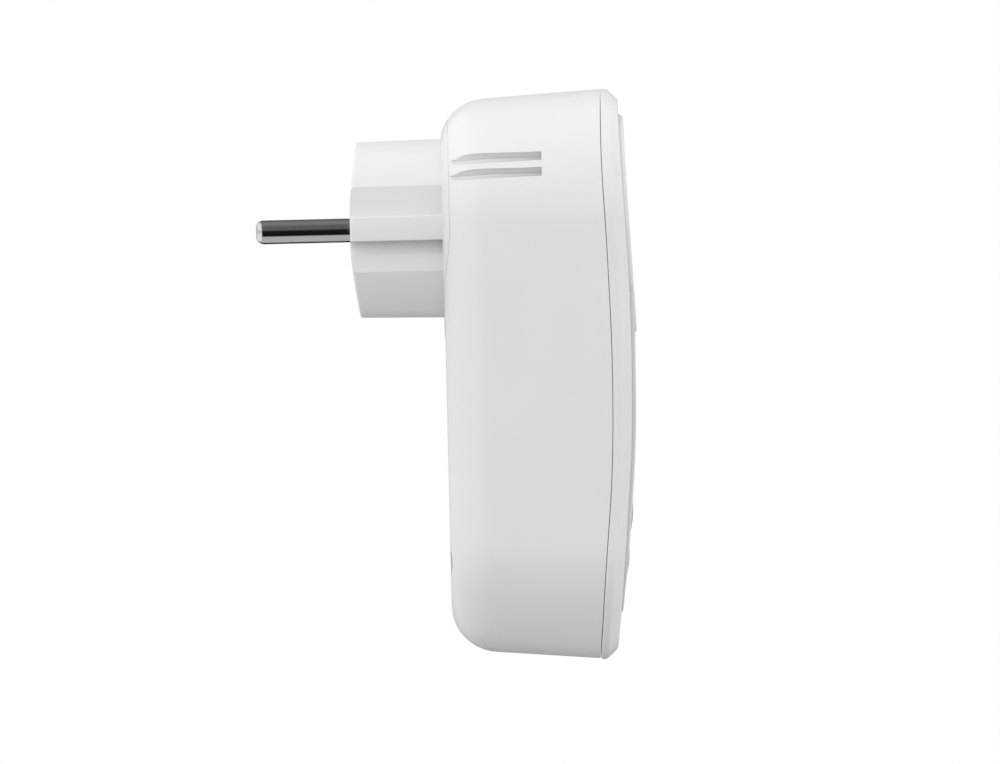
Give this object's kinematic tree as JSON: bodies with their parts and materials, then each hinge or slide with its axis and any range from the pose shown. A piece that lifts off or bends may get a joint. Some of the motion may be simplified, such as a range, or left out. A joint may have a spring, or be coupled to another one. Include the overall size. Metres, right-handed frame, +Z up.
{
  "type": "plug in power meter",
  "caption": "Wall-plug energy meter: earthed plug with round pins on the back, matching socket in front, display and keys below, in a tall rounded two-shell case.",
  "frame": {"origin": "centre of the plug end face, on the plug axis", "axes": "+Y along the plug pins towards the wall outlet, +Z up towards the round top of the case, +X to the right seen from the front"},
  "size_m": [0.0556, 0.0776, 0.1169],
  "materials": {
    "white_plastic": "semi-gloss moulded white",
    "panel_plastic": "satin light grey",
    "key_plastic": "satin light grey",
    "inner_plastic": "natural ivory",
    "black_plastic": "satin black",
    "nickel": "polished nickel plate",
    "brass": "bright rolled strip",
    "steel": "zinc plated",
    "circuit_board": "green solder resist",
    "clear_lens": "clear polished",
    "display_glass": "grey-green display glass",
    "rubber": "black silicone",
    "capacitor_yellow": "yellow box",
    "varistor_blue": "blue epoxy",
    "sleeve_green": "green shrink sleeve"
  },
  "bodies": {
    "case": {"rear_housing": "white_plastic", "plug_insert": "white_plastic", "pin_live": "nickel", "pin_neutral": "nickel", "plug_earth_strap": "nickel", "front_cover": "white_plastic", "front_panel": "panel_plastic", "window_lens": "clear_lens", "socket_insert": "white_plastic", "socket_earth_bracket": "nickel", "earth_link": "brass", "shutter_spring": "steel", "contact_carrier": "inner_plastic", "socket_contact_live": "brass", "socket_contact_neutral": "brass", "bus_strip_live": "brass", "bus_strip_load": "brass", "bus_strip_neutral": "brass", "shunt_resistor": "steel", "main_board": "circuit_board", "filter_capacitor": "capacitor_yellow", "smoothing_capacitor": "black_plastic", "varistor": "varistor_blue", "fuse": "black_plastic", "metering_chip": "black_plastic", "backup_battery": "sleeve_green", "board_connector": "black_plastic", "display_board": "circuit_board", "display_chip": "black_plastic", "crystal": "steel", "lcd_glass": "display_glass", "lcd_holder": "inner_plastic", "contact_strip_upper": "rubber", "contact_strip_lower": "rubber", "key_switch_set": "black_plastic", "key_switch_function": "black_plastic", "key_switch_cost": "black_plastic", "key_switch_down": "black_plastic", "key_switch_up": "black_plastic", "case_screw_upper_left": "steel", "case_screw_upper_right": "steel", "case_screw_lower_left": "steel", "case_screw_lower_right": "steel", "board_screw_upper": "steel", "board_screw_lower": "steel"},
    "shutter": {"shutter": "inner_plastic"},
    "key_set": {"key_set": "key_plastic", "switch_stem_set": "inner_plastic"},
    "key_function": {"key_function": "key_plastic", "switch_stem_function": "inner_plastic"},
    "key_cost": {"key_cost": "key_plastic", "switch_stem_cost": "inner_plastic"},
    "key_down": {"key_down": "key_plastic", "switch_stem_down": "inner_plastic"},
    "key_up": {"key_up": "key_plastic", "switch_stem_up": "inner_plastic"}
  },
  "joints": [
    {"name": "shutter_slide", "type": "slide", "parent": "case", "child": "shutter", "axis": [0, 0, 1], "range_m": [0, 0.007], "stiffness_N_per_m": 120, "springref_m": -0.003, "deforming": ["shutter_spring"]},
    {"name": "key_set_press", "type": "slide", "parent": "case", "child": "key_set", "axis": [0, 1, 0], "range_m": [0, 0.0006], "stiffness_N_per_m": 2000, "springref_m": -0.0002},
    {"name": "key_function_press", "type": "slide", "parent": "case", "child": "key_function", "axis": [0, 1, 0], "range_m": [0, 0.0006], "stiffness_N_per_m": 2000, "springref_m": -0.0002},
    {"name": "key_cost_press", "type": "slide", "parent": "case", "child": "key_cost", "axis": [0, 1, 0], "range_m": [0, 0.0006], "stiffness_N_per_m": 2000, "springref_m": -0.0002},
    {"name": "key_down_press", "type": "slide", "parent": "case", "child": "key_down", "axis": [0, 1, 0], "range_m": [0, 0.0006], "stiffness_N_per_m": 2000, "springref_m": -0.0002},
    {"name": "key_up_press", "type": "slide", "parent": "case", "child": "key_up", "axis": [0, 1, 0], "range_m": [0, 0.0006], "stiffness_N_per_m": 2000, "springref_m": -0.0002}
  ]
}
